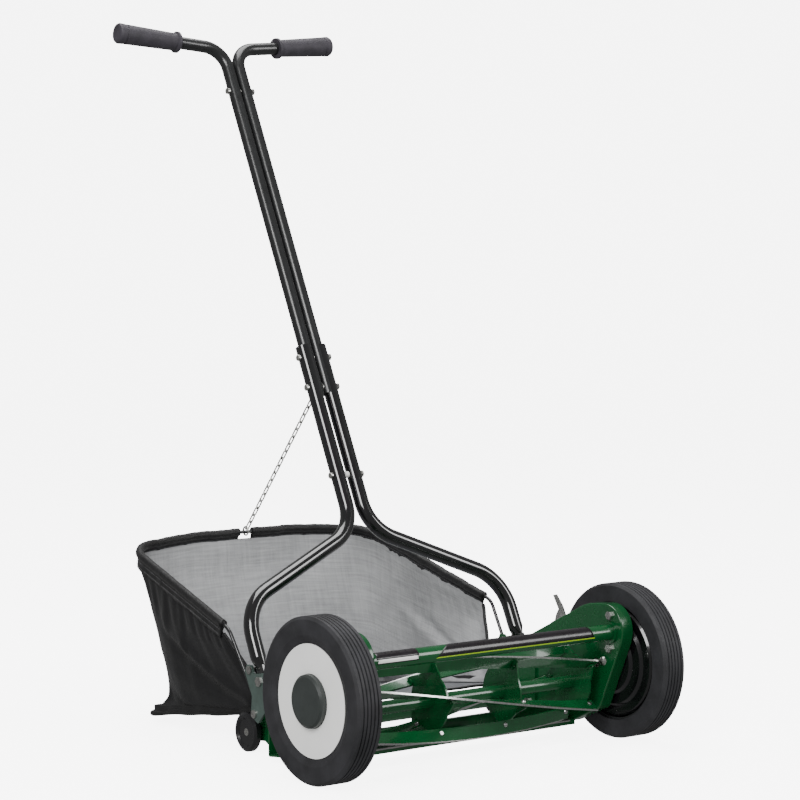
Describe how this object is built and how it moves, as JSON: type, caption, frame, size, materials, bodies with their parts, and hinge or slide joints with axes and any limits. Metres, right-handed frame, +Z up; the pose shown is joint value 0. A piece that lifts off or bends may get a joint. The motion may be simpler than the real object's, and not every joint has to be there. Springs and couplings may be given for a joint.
{
  "type": "reel mower",
  "caption": "Hand-pushed reel mower: geared wheels turn a spiral-bladed reel against a fixed bedknife, with a rear roller, T handle and chain-hung grass catcher.",
  "frame": {"origin": "on the ground, under the middle of the bounding box", "axes": "+X along the wheel axle towards the operator's left, +Y back towards the operator and the grass catcher, +Z up; the reel cuts towards -Y"},
  "size_m": [0.662, 0.8612, 1.1892],
  "materials": {
    "green_paint": "gloss",
    "grey_paint": "satin",
    "black_gloss": "gloss",
    "black_satin": "satin",
    "zinc": "satin",
    "steel": "ground",
    "tyre": "matt",
    "wheel_disc": "satin",
    "wheel_hub": "satin",
    "hub_cap": "satin",
    "dust_cover": "gloss",
    "roller_plastic": "gloss",
    "grip": "matt",
    "nylon": "satin",
    "catcher_fabric": "woven",
    "catcher_floor": "matt",
    "binding": "woven"
  },
  "bodies": {
    "frame": {"side_plate_right": "green_paint", "side_plate_left": "green_paint", "tie_bar": "green_paint", "tie_bar_flanges": "green_paint", "rear_brackets": "green_paint", "handle_brackets": "grey_paint", "bracket_studs": "zinc", "handle_pivot_bolts": "zinc", "handle_pivot_spacers": "zinc", "bedknife_bar": "green_paint", "bedknife_blade": "steel", "bedknife_screws": "zinc", "plate_bolts": "zinc", "plate_nuts": "zinc", "stub_axles": "zinc", "axle_clips": "zinc", "axle_washers": "zinc", "reel_bearings": "steel", "bearing_cups": "black_gloss", "dust_covers": "dust_cover", "cover_bolts": "zinc", "catcher_hooks": "zinc"},
    "wheel_right": {"tyre_right": "tyre", "wheel_hub_right": "wheel_hub", "wheel_disc_right": "wheel_disc", "hub_cap_right": "hub_cap"},
    "wheel_left": {"tyre_left": "tyre", "wheel_hub_left": "wheel_hub", "wheel_disc_left": "wheel_disc", "hub_cap_left": "hub_cap"},
    "reel": {"reel_shaft": "green_paint", "reel_spiders": "green_paint", "reel_blade_1": "green_paint", "reel_blade_2": "green_paint", "reel_blade_3": "green_paint", "reel_blade_4": "green_paint", "reel_blade_5": "green_paint", "reel_rivets": "steel", "pinions": "steel"},
    "carriage": {"roller_arms": "green_paint", "arm_bolts": "zinc", "arm_nuts": "zinc"},
    "roller": {"roller_axle": "zinc", "roller_core": "green_paint", "roller_ends": "roller_plastic"},
    "handle": {"lower_tube_right": "black_gloss", "lower_tube_left": "black_gloss", "upper_tube_right": "black_satin", "upper_tube_left": "black_satin", "grips": "grip", "handle_bolts": "zinc", "handle_nuts": "zinc", "neck_spacer": "nylon", "chain_hanger": "zinc"},
    "chain": {"chain_links": "zinc", "chain_ring": "zinc"},
    "catcher": {"catcher_frame": "black_satin", "catcher_floor": "catcher_floor", "catcher_bag": "catcher_fabric", "rim_bindings": "binding"}
  },
  "joints": [
    {"name": "wheel_left_spin", "type": "hinge", "parent": "frame", "child": "wheel_left", "pos_m": [0, -0.30281, 0.127], "axis": [1, 0, 0], "continuous": true},
    {"name": "wheel_right_spin", "type": "hinge", "parent": "frame", "child": "wheel_right", "pos_m": [0, -0.30281, 0.127], "axis": [1, 0, 0], "continuous": true},
    {"name": "reel_spin", "type": "hinge", "parent": "frame", "child": "reel", "pos_m": [0, -0.27269, 0.09493], "axis": [1, 0, 0], "continuous": true},
    {"name": "roller_height", "type": "slide", "parent": "frame", "child": "carriage", "axis": [0, 0, 1], "range_m": [-0.012, 0.007]},
    {"name": "roller_spin", "type": "hinge", "parent": "carriage", "child": "roller", "pos_m": [0, -0.03481, 0.0315], "axis": [1, 0, 0], "continuous": true},
    {"name": "handle_pivot", "type": "hinge", "parent": "frame", "child": "handle", "pos_m": [0, -0.09381, 0.122], "axis": [1, 0, 0], "range_deg": [0, 15]},
    {"name": "chain_swing", "type": "hinge", "parent": "handle", "child": "chain", "pos_m": [0, 0.1383, 0.55849], "axis": [1, 0, 0], "range_deg": [-3, 0]},
    {"name": "catcher_tilt", "type": "hinge", "parent": "frame", "child": "catcher", "pos_m": [0, -0.08081, 0.069], "axis": [1, 0, 0], "range_deg": [0, 15]}
  ],
  "couplings": [
    {"joint": "wheel_right_spin", "follows": "wheel_left_spin", "ratio": 1},
    {"joint": "reel_spin", "follows": "wheel_left_spin", "ratio": 4.6667},
    {"joint": "catcher_tilt", "follows": "handle_pivot", "ratio": 0.9411},
    {"joint": "chain_swing", "follows": "handle_pivot", "ratio": -0.154}
  ]
}
